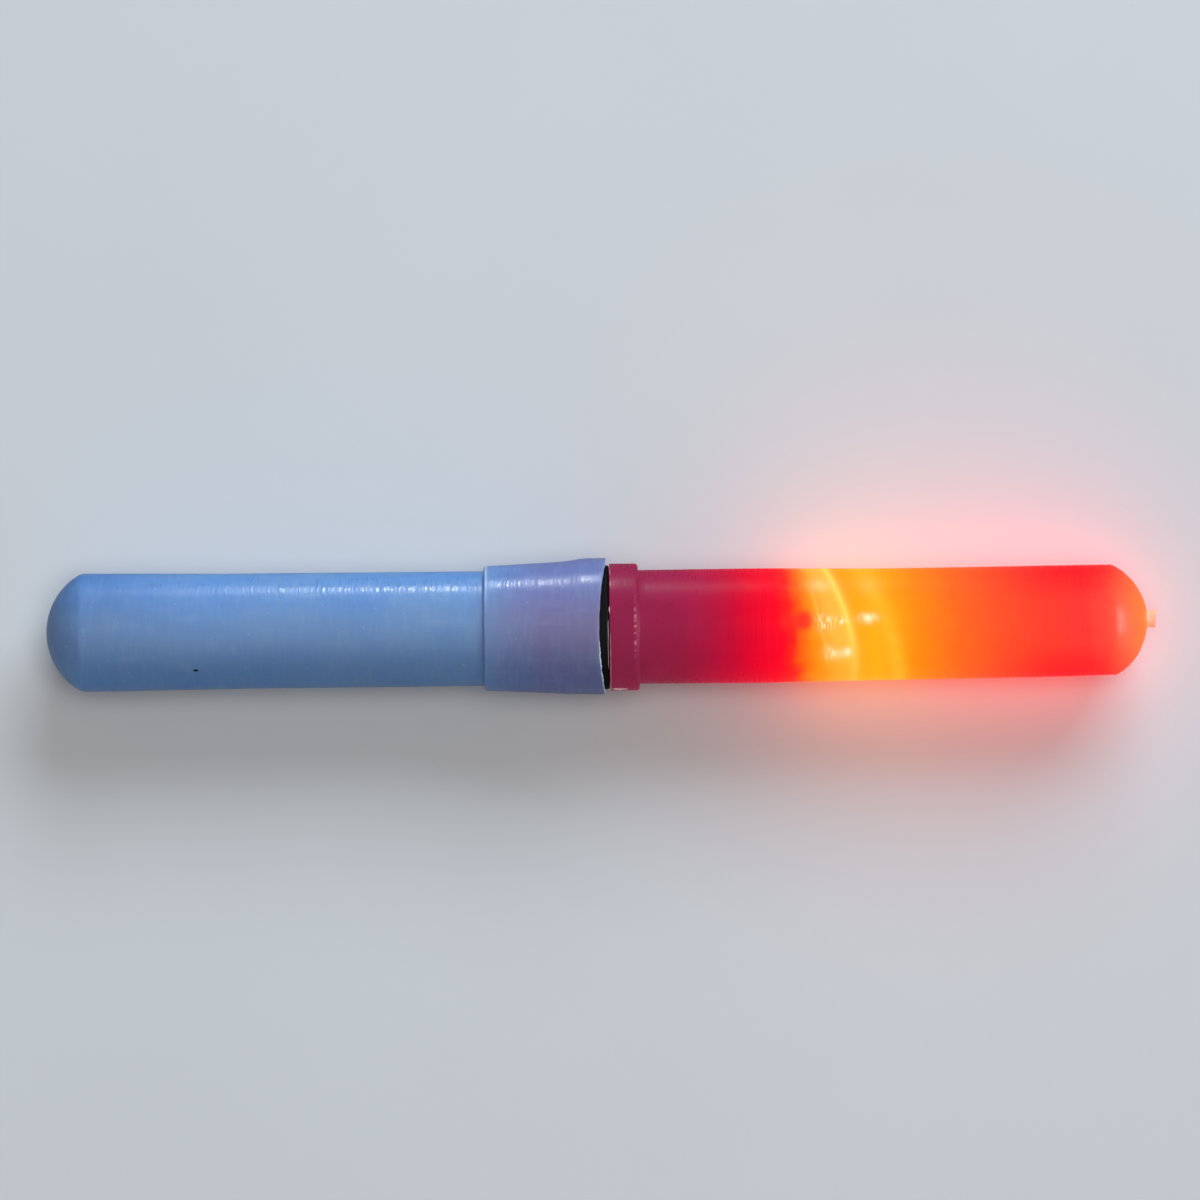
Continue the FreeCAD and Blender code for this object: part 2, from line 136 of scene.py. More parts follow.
def softened(points, radius=0.03, steps=4):
    """The outline with each corner of more than 12 degrees rounded; a point may give its own radius."""
    done = [points[0][:2]]
    for before, here, after in zip(points, points[1:], points[2:]):
        corner = Vector(here[:2])
        back, on = Vector(before[:2]) - corner, Vector(after[:2]) - corner
        turn = math.pi - back.angle(on)
        if turn < math.radians(12):
            done.append(tuple(corner))
            continue
        own = here[2] if len(here) > 2 else radius
        cut = min(own * math.tan(turn / 2), 0.48 * back.length, 0.48 * on.length)
        first, last = corner + back.normalized() * cut, corner + on.normalized() * cut
        for step in range(steps + 1):
            t = step / steps
            done.append(tuple(first * (1 - t)**2 + corner * 2 * t * (1 - t) + last * t**2))
    return done + [points[-1][:2]]


def divided(points, longest=0.3):
    """The outline with long runs divided, so that they can carry small unevenness."""
    done = [points[0]]
    for a, b in zip(points, points[1:]):
        parts = max(1, math.ceil(math.dist(a, b) / longest))
        done += [tuple(a[k] + (b[k] - a[k]) * i / parts for k in (0, 1)) for i in range(1, parts + 1)]
    return done


# ------------------------------------------------------------------------------ meshes
def finish_mesh(name, bm, body, material, sharp=40):
    """Turns a bmesh into a shaded object that rides on a body."""
    bmesh.ops.remove_doubles(bm, verts=bm.verts, dist=1e-9)
    bmesh.ops.recalc_face_normals(bm, faces=bm.faces)
    mesh = bpy.data.meshes.new(name)
    bm.to_mesh(mesh)
    bm.free()
    mesh.shade_smooth()
    mesh.set_sharp_from_angle(angle=math.radians(sharp))
    mesh.materials.append(material)
    piece = bpy.data.objects.new(name, mesh)
    bpy.context.scene.collection.objects.link(piece)
    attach(piece, body)
    return piece


def lathe(name, outline, body, material, warp=None, loop=False, segments=SEGMENTS, aside=0.0):
    """An outline turned round the axis, or round a line that lies aside (mm) towards +Y.

    warp(x, r, angle) may move each point; angle 90 is +Y.
    """
    bm = bmesh.new()
    rows = []
    for x, r in outline:
        if r < 1e-6:
            rows.append([bm.verts.new((row_x(x), aside * MM, 0))] * segments)
            continue
        row = []
        for i in range(segments):
            angle = 2 * math.pi * i / segments
            wx, wr = warp(x, r, angle) if warp else (x, r)
            y, z = wr * math.sin(angle) + aside, wr * math.cos(angle)
            row.append(bm.verts.new((row_x(wx), y * MM, z * MM)))
        rows.append(row)
    pairs = list(zip(rows, rows[1:]))
    if loop:
        pairs.append((rows[-1], rows[0]))
    for a, b in pairs:
        for i in range(segments):
            j = (i + 1) % segments
            corners = list(dict.fromkeys([a[i], a[j], b[j], b[i]]))
            if len(corners) > 2:
                bm.faces.new(corners)
    return finish_mesh(name, bm, body, material)


def ribbon(name, spine, rise, thickness, body, material):
    """A thin fin along spine points; rise is the vector from each point to the fin's free edge."""
    bm = bmesh.new()
    rows = []
    for i, (point, up) in enumerate(zip(spine, rise)):
        along = (spine[min(i + 1, len(spine) - 1)] - spine[max(i - 1, 0)]).normalized()
        side = along.cross(up).normalized() * thickness / 2
        tip = point + up
        corners = (point - side, point + side, tip + side * 0.4, tip - side * 0.4)
        rows.append([bm.verts.new(corner) for corner in corners])
    for a, b in zip(rows, rows[1:]):
        for i in range(4):
            j = (i + 1) % 4
            bm.faces.new((a[i], a[j], b[j], b[i]))
    bm.faces.new(rows[0])
    bm.faces.new(rows[-1])
    return finish_mesh(name, bm, body, material)


def wobble(seed, *place):
    """Smooth noise from -1 to 1 at a place of up to three numbers."""
    spot = Vector((seed * 17.3, seed * 5.1, 0))
    for k, value in enumerate(place):
        spot[k] += value
    return noise.noise(spot)


def around(angle, seed, waves):
    """Smooth noise that closes on itself round the axis."""
    return wobble(seed, waves * math.cos(angle), waves * math.sin(angle))


def hump(value, centre, width):
    """A smooth hump of height 1."""
    return math.exp(-((value - centre) / width)**2)


# ------------------------------------------------------------------------------ node materials
def linear(red, green, blue):
    """Linear colour of a display colour given in 0 to 255."""
    def one(v):
        v /= 255
        return v / 12.92 if v <= 0.04045 else ((v + 0.055) / 1.055)**2.4
    return one(red), one(green), one(blue), 1.0


class Shader:
    """A Principled material, with short calls for the nodes that vary it."""

    def __init__(self, name, colour, roughness, **sockets):
        self.material = bpy.data.materials.new(name)
        self.material.use_nodes = True
        self.tree = self.material.node_tree
        self.bsdf = self.tree.nodes["Principled BSDF"]
        self.set("Base Color", colour)
        self.set("Roughness", roughness)
        for key, value in sockets.items():
            self.set(key.replace("_", " "), value)
        place = self.add("ShaderNodeTexCoord").outputs["Object"]
        self.mm = self.add("ShaderNodeVectorMath", {"operation": "SCALE"},
                           {0: place, "Scale": 1 / MM}).outputs[0]
        split = self.add("ShaderNodeSeparateXYZ", {}, {0: self.mm})
        self.x, self.y, self.z = split.outputs

    def set(self, socket, value):
        if isinstance(value, bpy.types.NodeSocket):
            self.tree.links.new(value, self.bsdf.inputs[socket])
        else:
            self.bsdf.inputs[socket].default_value = value

    def add(self, kind, settings=None, inputs=None):
        node = self.tree.nodes.new(kind)
        for key, value in (settings or {}).items():
            setattr(node, key, value)
        for key, value in (inputs or {}).items():
            if isinstance(value, bpy.types.NodeSocket):
                self.tree.links.new(value, node.inputs[key])
            else:
                node.inputs[key].default_value = value
        return node

    def math(self, operation, a, b=0.0, clamp=False):
        return self.add("ShaderNodeMath", {"operation": operation, "use_clamp": clamp},
                        {0: a, 1: b}).outputs[0]

    def sum(self, first, *rest):
        for value in rest:
            first = self.math("ADD", first, value)
        return first

    def noise(self, scale, detail=3.0, stretch=(1, 1, 1), roughness=0.55):
        """Noise of about scale features per millimetre, from 0 to 1."""
        vector = self.mm
        if stretch != (1, 1, 1):
            vector = self.add("ShaderNodeVectorMath", {"operation": "MULTIPLY"},
                              {0: self.mm, 1: stretch}).outputs[0]
        return self.add("ShaderNodeTexNoise", {}, {
            "Vector": vector, "Scale": scale, "Detail": detail, "Roughness": roughness,
        }).outputs[0]

    def rings(self, per_mm, detail=2.0, stray=0.25):
        """Noise that runs round the axis: turning marks, per_mm to the millimetre."""
        drift = self.math("MULTIPLY", self.noise(0.7, 1.0), stray)
        where = self.math("ADD", self.x, drift)
        return self.add("ShaderNodeTexNoise", {"noise_dimensions": "1D"}, {
            "W": where, "Scale": per_mm, "Detail": detail, "Roughness": 0.6,
        }).outputs[0]

    def span(self, value, low, high, to_low=0.0, to_high=1.0):
        """value carried from low..high to to_low..to_high, held at the ends."""
        return self.add("ShaderNodeMapRange", {"clamp": True}, {
            "Value": value, "From Min": low, "From Max": high, "To Min": to_low, "To Max": to_high,
        }).outputs[0]

    def mix(self, factor, a, b, kind="MIX"):
        node = self.add("ShaderNodeMix", {"data_type": "RGBA", "blend_type": kind}, {0: factor})
        for index, value in ((6, a), (7, b)):
            if isinstance(value, bpy.types.NodeSocket):
                self.tree.links.new(value, node.inputs[index])
            else:
                node.inputs[index].default_value = value
        return node.outputs[2]

    def ramp(self, value, stops):
        """Colour from a list of (position, colour), positions in the value's own units."""
        low, high = stops[0][0], stops[-1][0]
        node = self.add("ShaderNodeValToRGB", {}, {0: self.span(value, low, high)})
        ramp = node.color_ramp
        while len(ramp.elements) < len(stops):
            ramp.elements.new(0.5)
        # all positions first: an element that moves past another would change places with it
        for element, stop in zip(ramp.elements, stops):
            element.position = (stop[0] - low) / (high - low)
        for element, stop in zip(ramp.elements, stops):
            element.color = stop[1]
        return node.outputs[0]

    def band(self, distance, width):
        """1 where a distance is 0, falling smoothly to 0 beyond width."""
        share = self.math("DIVIDE", distance, width)
        return self.math("POWER", math.e, self.math("MULTIPLY", self.math("MULTIPLY", share, share), -1.0))

    def spot(self, centre, radii):
        """1 at a row place in mm, falling smoothly to 0 beyond the radii."""
        offset = self.add("ShaderNodeVectorMath", {"operation": "SUBTRACT"},
                          {0: self.mm, 1: centre}).outputs[0]
        share = self.add("ShaderNodeVectorMath", {"operation": "DIVIDE"}, {0: offset, 1: radii}).outputs[0]
        length = self.add("ShaderNodeVectorMath", {"operation": "LENGTH"}, {0: share}).outputs["Value"]
        return self.band(length, 1.0)

    def bump(self, height, depth_mm, strength=1.0):
        """Relief of that depth from a height of 0 to 1."""
        node = self.add("ShaderNodeBump", {}, {
            "Height": height, "Distance": depth_mm * MM, "Strength": strength,
        })
        self.set("Normal", node.outputs[0])


def milky_plastic(name):
    """Milky moulding painted bluish, partly for the cool light on it: soft depth, fine turned strokes,
    faint mottling, scratches and dust, with painted light, shade and highlight.
    """
    # the base colour's blue is partly painted cool light
    s = Shader(name, (0.21, 0.34, 0.585, 1), 0.3, IOR=1.49, Specular_IOR_Level=0.25,
               Subsurface_Weight=1.0, Subsurface_Scale=1.0 * MM)
    s.set("Subsurface Radius", (0.9, 1.0, 1.15))
    pale, deep = (0.215, 0.335, 0.555, 1), (0.180, 0.315, 0.575, 1)
    colour = s.mix(s.span(s.noise(0.35, 4.0), 0.35, 0.65), deep, pale)
    shoulder = row_x(SHOULDER) / MM
    # painted reddish-purple light from the cap's glow, growing from the shoulder towards the mouth
    painted_cap_glow = s.span(s.sum(s.x, s.math("MULTIPLY", s.noise(0.5), 1.2)), shoulder, shoulder + 3.0, 0.0, 0.9)
    colour = s.mix(painted_cap_glow, colour, (0.245, 0.203, 0.375, 1))
    # painted shade: the flanks darker and bluer than the top
    painted_flank_shading = s.span(s.math("ABSOLUTE", s.y), 0.5, 2.3, 0.0, 0.9)
    colour = s.mix(painted_flank_shading, colour, (0.66, 0.90, 1.10, 1), "MULTIPLY")
    # painted shade: darker towards the closed end, less so towards -Y
    end = s.math("MULTIPLY", s.span(s.x, TIP_X / MM, TIP_X / MM + 7.0, 1.0, 0.0), s.span(s.y, -2.4, 1.4))
    colour = s.mix(end, colour, (0.66, 0.70, 0.76, 1), "MULTIPLY")
    # a painted highlight along the shoulder's step, on the +Y flank
    edge = s.math("MULTIPLY", s.band(s.sum(s.x, -shoulder - 0.12), 0.045), s.span(s.y, 0.6, 2.2, 0.0, 0.8))
    colour = s.mix(edge, colour, (0.52, 0.62, 0.78, 1))
    grain = s.noise(5.0, 2.0, (1.0, 0.18, 0.18))
    colour = s.mix(s.span(grain, 0.45, 0.75, 0.0, 0.16), colour, (0.34, 0.46, 0.68, 1))
    streaks = s.noise(1.1, 3.0, (0.3, 3.0, 3.0))
    colour = s.mix(s.span(streaks, 0.56, 0.75, 0.0, 0.10), colour, (0.42, 0.52, 0.70, 1))
    dust = s.noise(6.0, 2.0)
    colour = s.mix(s.span(dust, 0.72, 0.76, 0.0, 0.6), colour, (0.52, 0.60, 0.72, 1))
    nicks = s.noise(5.0, 3.0, (1.0, 2.2, 2.2))
    marks = s.math("MULTIPLY", s.span(nicks, 0.71, 0.74, 0.0, 0.4), s.span(s.y, 0.9, 1.4, 1.0, 0.0))
    colour = s.mix(marks, colour, (0.05, 0.09, 0.15, 1))
    speck = s.spot((TIP_X / MM + 6.62, -1.70, 1.97), (0.15, 0.07, 0.2))
    colour = s.mix(s.span(speck, 0.45, 0.55), colour, (0.002, 0.003, 0.004, 1))
    s.set("Base Color", colour)
    # the turned strokes are strongest along one flank, where they break up the highlight
    flank = s.spot((row_x(17.0) / MM, 1.85, 1.75), (11.0, 0.44, 0.60))
    strokes = s.rings(8.0, 1.0, 0.25)
    polish = s.math("MULTIPLY", flank, s.span(strokes, 0.40, 0.60, 0.08, -0.17))
    s.set("Roughness", s.sum(s.span(s.noise(1.5), 0.35, 0.65, 0.28, 0.36), polish))
    relief = s.math("MULTIPLY", strokes, flank)
    s.bump(s.sum(relief, s.math("MULTIPLY", s.noise(0.8, 1.0), 0.1)), 0.016)
    return s.material


# Colour of the light that comes through the cap, by millimetres from the die along the axis.
GLOW = (
    (-13.6, (100, 30, 52)), (-7.0, (104, 26, 50)), (-5.0, (122, 20, 46)), (-3.8, (146, 12, 42)),
    (-2.7, (186, 3, 44)), (-1.8, (221, 0, 42)), (-1.2, (238, 0, 40)), (-0.6, (249, 4, 34)),
    (-0.1, (255, 38, 24)),
    (0.35, (255, 104, 12)), (0.9, (255, 144, 10)), (1.9, (255, 160, 14)), (3.6, (255, 178, 18)),
    (4.6, (255, 158, 8)), (5.6, (255, 136, 12)), (7.2, (255, 106, 28)), (9.0, (255, 82, 38)),
    (11.0, (255, 62, 44)), (12.8, (255, 56, 50)), (13.7, (255, 74, 58)), (14.5, (255, 106, 70)),
    (15.3, (255, 128, 60)), (16.0, (255, 140, 66)),
)
GLOW_STRENGTH = 2.5         # red is driven past full display brightness, so it lights the floor


def glow_colour(display, drive=GLOW_STRENGTH):
    """Emission colour that shows as a display colour, with its red driven that many times."""
    red, green, blue, alpha = linear(*display)
    return red * drive / GLOW_STRENGTH, green / GLOW_STRENGTH, blue / GLOW_STRENGTH, alpha


def glow_stops():
    """The glow along the axis; only the well-lit part is driven beyond what the display shows."""
    for mm, shown in GLOW:
        yield mm, glow_colour(shown, min(GLOW_STRENGTH, max(1.0, 1.6 + mm)))


def red_cap_plastic(name):
    """Translucent red moulding, lit by the LED behind it: that light is painted on as a glow."""
    s = Shader(name, (0.16, 0.008, 0.028, 1), 0.3, IOR=1.5, Specular_IOR_Level=0.1,
               Subsurface_Weight=0.4, Subsurface_Scale=0.9 * MM, Emission_Strength=GLOW_STRENGTH)
    s.set("Subsurface Radius", (1.4, 0.35, 0.3))
    die = (DIE_LO.x + DIE_HI.x) / 2 / MM
    x = s.math("SUBTRACT", s.x, die)
    # the lit front is ragged, and runs on further at the sides, most of all at the +Y one
    ragged = s.math("MULTIPLY", s.math("SUBTRACT", s.noise(0.9, 2.0), 0.5), 0.7)
    sides = s.math("MULTIPLY", s.math("MULTIPLY", s.y, s.y), s.span(x, -4.5, -1.5, 0.070, 0.022))
    lean = s.math("MULTIPLY", s.y, s.span(x, -3.2, -1.0, 0.0, 0.074))
    glow = s.ramp(s.sum(x, ragged, sides, lean, 0.20), list(glow_stops()))
    # beyond the middle the painted glow on the flanks is a purer red than on the top
    flanks = s.span(s.math("ABSOLUTE", s.y), 0.9, 2.3, 0.0, 0.9)
    painted_flank_shading = s.math("MULTIPLY", flanks, s.band(s.sum(x, -12.2), 2.8))
    glow = s.mix(painted_flank_shading, glow, glow_colour((255, 16, 30)))
    # the cup's round shadow, joined to the dark side by a neck
    for along, length, width, share in ((-0.25, 0.50, 0.32, 0.55), (0.25, 0.37, 0.42, 0.85)):
        mask = s.span(s.spot((die + along, 0.2, 2.4), (length, width, 1.2)), 0.10, 0.70, 0.0, share)
        glow = s.mix(mask, glow, glow_colour((244, 44, 32), 1.1))

    def ring(offset, slant, curve, width):
        """A bowed ring of light, thrown on the wall by the LED's dome."""
        bow = s.math("MULTIPLY", s.math("MULTIPLY", s.y, s.y), curve)
        return s.band(s.sum(x, s.math("MULTIPLY", s.y, slant), bow, -offset), width)

    bright, paler = glow_colour((255, 222, 92)), glow_colour((255, 194, 46))
    upper = s.span(s.y, -1.2, 0.4, 0.08, 0.95)
    middle = s.span(s.math("ABSOLUTE", s.y), 1.2, 2.0, 0.22, 0.0)
    fading = s.span(s.y, -2.2, -0.6, 0.25, 0.58)
    soft = s.span(s.noise(0.8), 0.3, 0.7, 0.35, 0.70)
    for amount, offset, slant, curve, width, colour in (
        (soft, 3.93, 0.335, 0.060, 0.40, paler),
        (fading, 1.62, 0.240, 0.050, 0.60, glow_colour((255, 206, 84))),
        (fading, 2.18, 0.252, 0.062, 0.26, bright),
        (upper, 2.20, 0.252, 0.062, 0.10, bright),
        (middle, 0.99, 0.230, 0.035, 0.10, bright),
    ):
        glow = s.mix(s.math("MULTIPLY", ring(offset, slant, curve, width), amount), glow, colour)
    # glints off the LED's dome, broken up by the turning marks inside the cap
    star = glow_colour((255, 250, 190))
    strokes = s.span(s.noise(12.0, 2.0, (1.0, 0.22, 0.22)), 0.44, 0.56)
    for along, side, length, width, share, broken in (
        (0.97, 1.85, 0.48, 0.30, 0.70, False),
        (3.10, 2.10, 0.50, 0.50, 0.30, False),
        (1.75, -1.27, 0.50, 0.22, 0.45, False),
        (1.14, 0.12, 0.33, 0.33, 1.00, True),
        (1.88, 0.20, 0.22, 0.18, 0.95, True),
        (3.06, 0.28, 0.38, 0.22, 0.30, False),
        (3.06, 0.28, 0.36, 0.19, 0.80, True),
        (3.06, 0.30, 0.15, 0.11, 1.00, False),
        (1.40, -1.25, 0.22, 0.28, 0.80, True),
        (2.14, -1.19, 0.15, 0.17, 1.00, False),
    ):
        mask = s.spot((die + along, side, 2.4), (length, width, 0.7))
        if broken:
            mask = s.math("MULTIPLY", mask, strokes)
        glow = s.mix(s.math("MULTIPLY", mask, share), glow, star)
    # the cell's bore, behind the LED's holder, stays dark
    radius = s.math("SQRT", s.sum(s.math("MULTIPLY", s.y, s.y), s.math("MULTIPLY", s.z, s.z)))
    bore = s.math("MULTIPLY", s.span(radius, 2.20, 2.36, 0.9, 0.0), s.span(x, -3.3, -2.9, 1.0, 0.0))
    glow = s.mix(bore, glow, (0, 0, 0, 1))
    s.set("Emission Color", glow)
    base = s.mix(s.span(s.noise(0.8), 0.35, 0.65), (0.150, 0.005, 0.034, 1), (0.175, 0.007, 0.040, 1))
    # under the brightest painted glow the base colour is darker, so that the glow shows a purer red
    lit = s.span(x, -4.4, -2.4)
    base = s.mix(lit, base, (0.10, 0.001, 0.003, 1))
    # a beaded, painted highlight along the collar's far corner
    corner = s.band(s.sum(s.x, -row_x(COLLAR + COLLAR_LENGTH - 0.16) / MM), 0.05)
    painted_bead_highlights = s.math("MULTIPLY", corner, s.span(s.noise(9.0, 2.0), 0.50, 0.60, 0.0, 0.7))
    painted_bead_highlights = s.math("MULTIPLY", painted_bead_highlights, s.band(s.sum(s.y, 0.15), 1.1))
    s.set("Base Color", s.mix(painted_bead_highlights, base, (0.70, 0.36, 0.44, 1)))
    turned = s.span(s.rings(8.0, 1.0, 0.25), 0.40, 0.60, -0.07, 0.07)
    s.set("Roughness", s.sum(s.span(s.noise(2.0), 0.35, 0.65, 0.32, 0.42), turned))
    s.bump(s.sum(s.math("MULTIPLY", s.noise(7.0, 2.0, (1.0, 0.25, 0.25)), 0.6), s.noise(1.0, 1.0)), 0.002)
    return s.material


def rubber(name):
    """Black moulded rubber with a little dust."""
    s = Shader(name, (0.005, 0.005, 0.006, 1), 0.6, Specular_IOR_Level=0.1)
    dust = s.span(s.noise(9.0, 4.0), 0.62, 0.74, 0.0, 0.35)
    s.set("Base Color", s.mix(dust, (0.002, 0.002, 0.003, 1), (0.02, 0.022, 0.02, 1)))
    s.set("Roughness", s.span(s.noise(5.0), 0.3, 0.7, 0.5, 0.75))
    s.bump(s.noise(14.0, 4.0), 0.006)
    return s.material


def metal(name, colour, dark, roughness, lines=0.0, grain=6.0, depth=0.003):
    """Metal with stained patches, uneven polish and, where lines is set, turning marks."""
    s = Shader(name, colour, roughness, Metallic=1.0)
    stain = s.span(s.noise(1.3, 5.0), 0.45, 0.72)
    s.set("Base Color", s.mix(stain, colour, dark))
    fine = s.noise(grain, 4.0)
    height = fine
    if lines:
        turned = s.rings(lines, 3.0, 0.05)
        height = s.sum(turned, s.math("MULTIPLY", fine, 0.4))
    s.set("Roughness", s.span(height, 0.3, 1.0, roughness * 0.75, roughness * 1.5))
    s.bump(height, depth)
    return s.material


def plain_plastic(name, colour, other, roughness, grain=5.0, depth=0.004, **sockets):
    """Moulded plastic or pressed powder with a fine grain."""
    s = Shader(name, colour, roughness, **sockets)
    s.set("Base Color", s.mix(s.span(s.noise(0.9, 5.0), 0.35, 0.68), colour, other))
    grainy = s.noise(grain, 5.0)
    s.set("Roughness", s.span(grainy, 0.3, 0.7, roughness * 0.8, min(1.0, roughness * 1.25)))
    s.bump(grainy, depth)
    return s.material


# ------------------------------------------------------------------------------ milky tube
def tube_outline():
    """Outside from the closed end to the mouth, then back along the bore."""
    ball = cap_radius(BARREL_R, DOME_DEPTH)
    edge = math.degrees(math.asin(BARREL_R / ball))
    inner = ball - TUBE_WALL
    bore = BARREL_END_R - TUBE_WALL + 0.04
    inner_edge = math.degrees(math.asin(bore / inner))
    outside = dome(ball, ball, 180, 189 - edge) + [
        (DOME_DEPTH, BARREL_R, 0.5), (4.5, 2.575), (8.0, 2.535), (SHOULDER, BARREL_END_R, 0.05),
        (SHOULDER + 0.02, SOCKET_R - 0.01, 0.20),
        (20.0, 2.765), (20.9, 2.815), (21.7, 2.85), (22.6, 2.90), (23.1, 2.94), (23.5, 2.975),
        (23.9, 2.995), (MOUTH - 0.03, 3.01, 0.04), (MOUTH - 0.03, SEAL_BORE_R + 0.02, 0.03),
        (23.55, SEAL_BORE_R), (22.6, SOCKET_BORE_R), (SOCKET_FLOOR, SOCKET_BORE_R),
        (SOCKET_FLOOR, bore),
    ]
    return divided(softened(outside + dome(ball, inner, 180 - inner_edge, 180)))


def tube_warp(x, r, angle):
    """A barrel a little out of round, and a mouth flared and trimmed unevenly."""
    in_bore = x > 1.0 and r < BARREL_END_R - 0.1
    if in_bore:
        return x, r
    r += UNEVEN * wobble(1, x * 0.25, 1.4 * math.cos(angle), 1.4 * math.sin(angle))
    if x > 22.0 and r > SEAL_BORE_R + 0.01:
        reach = min(1.0, (x - 22.0) / (MOUTH - 22.0))
        side = math.sin(angle)
        flare = min(1.0, max(0.0, (x - 22.9) / 0.7))
        r += flare * (MOUTH_FLARE * side + 0.010 * around(angle, 2, 1.6))
        trim = 0.02 * around(angle, 4, 7.0) - MOUTH_CUT + MOUTH_BOW * side**2 + 0.035 * side
        x += reach**8 * trim
    return x, min(r, RIM_R - 0.001)


def rim_point(angle, x, r):
    """Row place of a station, radius and angle; angle 90 is +Y."""
    return Vector((row_x(x), r * MM * math.sin(angle), r * MM * math.cos(angle)))


def flash(name, x, r, from_deg, to_deg, height, lean, body, material, seed, thickness=0.022, bow=0.0,
          along=0.0, torn=1.0):
    """A torn fin of flash round an edge; lean is its (axial, radial) direction.

    bow moves it along the axis at both Y sides; along is its own length along the axis; torn is how
    uneven its height is.
    """
    steps = max(8, int(abs(to_deg - from_deg) * 1.2), int(along * 40))
    spine, rise = [], []
    for i in range(steps + 1):
        share = i / steps
        angle = math.radians(from_deg + (to_deg - from_deg) * share)
        ragged = 0.45 * wobble(seed, share * steps * 0.16) + 0.35 * wobble(seed + 1, share * steps * 0.6)
        tall = height * max(0.08, 0.55 + torn * ragged) * math.sin(math.pi * share)**0.35
        out = Vector((0, math.sin(angle), math.cos(angle)))
        shift = bow * math.sin(angle)**2 + along * share + 0.012 * wobble(seed + 2, share * 9)
        spine.append(rim_point(angle, x + shift, r))
        rise.append((Vector((lean[0], 0, 0)) + out * lean[1]).normalized() * max(tall, 0.004) * MM)
    return ribbon(name, spine, rise, thickness * MM, body, material)


def make_tube(plastic, thin_plastic):
    tube = lathe("milky_tube", tube_outline(), "tube", plastic, tube_warp)
    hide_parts("battery_tube")
    edge = RIM_R - 0.12
    fins = [
        flash("rim_flash_top", MOUTH - 0.22, edge, 60, 100, 0.10, (1, 0.3), "tube", thin_plastic, 11, 0.04,
              bow=0.31),
        flash("rim_flash_side", MOUTH - 0.22, edge + 0.05, -96, -4, 0.09, (1, 0.1), "tube", thin_plastic,
              14, 0.035, bow=0.26),
        flash("rim_flash_under", MOUTH - 0.22, edge, 130, 230, 0.08, (1, 0.1), "tube", thin_plastic, 17,
              bow=0.29),
        flash("dome_flash", DOME_DEPTH + 0.02, BARREL_R - 0.03, -101, -80, 0.07, (-0.5, 1), "tube",
              thin_plastic, 51, 0.04),
        flash("seam_flash_low", 16.6, BARREL_END_R - 0.02, -90, -90, 0.05, (0, 1), "tube", thin_plastic,
              53, 0.04, along=0.5),
        flash("seam_flash_high", 2.2, BARREL_R - 0.03, 90, 90, 0.05, (0, 1), "tube", thin_plastic,
              56, 0.04, along=0.7),
    ]


# ------------------------------------------------------------------------------ red cap
def cap_outline():
    """Spigot, neck, collar, light tube and dome outside, then back along the bore."""
    ball = cap_radius(LENS_END_R, LENS_DOME_DEPTH)
    tip = LENS_DOME + LENS_DOME_DEPTH
    centre = tip - ball
    edge = math.degrees(math.asin(LENS_END_R / ball))
    inner = ball - 0.38
    inner_edge = math.degrees(math.asin(LENS_BORE_R / inner))
    collar_end = COLLAR + COLLAR_LENGTH
    outside = [
        (HOLDER_STOP, CELL_BORE_R), (CAP_START + 0.02, CELL_BORE_R),
        (CAP_START + 0.02, SPIGOT_R - 0.12), (CAP_START + 0.14, SPIGOT_R),
        (NECK, SPIGOT_R), (NECK, NECK_R), (COLLAR, NECK_R), (COLLAR, COLLAR_R - 0.004),
        (collar_end - 0.10, COLLAR_R - 0.004, 0.05), (collar_end, COLLAR_R - 0.10, 0.05),
        (collar_end, LENS_R - 0.01, 0.06), (31.4, 2.525), (34.0, 2.49), (36.5, 2.46), (44.0, 2.45),
        (LENS_DOME, LENS_END_R, 0.45),
    ]
    return divided(softened(outside + dome(centre, ball, edge - 8, 0) + dome(centre, inner, 0, inner_edge)
                            + [(HOLDER_STOP, LENS_BORE_R)]))


def cap_warp(x, r, angle):
    """A cap that sits a touch askew, bows slightly to +Y, and whose dome leans with the bow."""
    in_bore = r < LENS_BORE_R + 0.15 and x < BOW_START
    if x < COLLAR or in_bore:
        return x, r
    side = math.sin(angle)
    r += UNEVEN * wobble(6, x * 0.22, 1.3 * math.cos(angle), 1.3 * math.sin(angle)) - 0.004
    if x < LENS_DOME:
        x -= CAP_ASKEW * r * side * min(1.0, (LENS_DOME - x) / 10)
    bow = min(1.0, r / 0.6) * max(0.0, (x - BOW_START) / (LENS_DOME - BOW_START))**2
    r += LENS_BOW * bow * side
    lean = max(0.0, min(1.0, (x - 44.0) / 3.0)) * min(1.0, r / 1.5)
    x -= DOME_LEAN * r * side * lean
    return x, r


def stub_outline():
    """The torn stub that the runner left."""
    root = LENS_DOME + LENS_DOME_DEPTH - 0.12
    return divided(softened([
        (root, 0.0), (root, 0.40), (root + 0.10, 0.39), (root + 0.22, 0.37), (root + 0.38, 0.375),
        (root + 0.47, 0.38, 0.02), (root + 0.47, 0.0),
    ], 0.02), 0.05)


def stub_warp(x, r, angle):
    """The end is torn on a slant, with a hooked burr on one side and a smaller one opposite."""
    start = LENS_DOME + LENS_DOME_DEPTH + 0.12
    if x < start:
        return x, r
    reach = min(1.0, (x - start) / 0.22)
    height = r * math.sin(angle)
    x += reach * (0.14 * height + 0.06 * wobble(21, 6 * height, 6 * r * math.cos(angle)))
    burr = hump(angle, math.pi / 2, 0.5) + 0.35 * hump(angle, 1.5 * math.pi, 0.35)
    if r > 0.25:
        r += reach * (0.05 * burr + 0.03 * around(angle, 22, 3.5))
    return min(x, CAP_END - 0.003), r


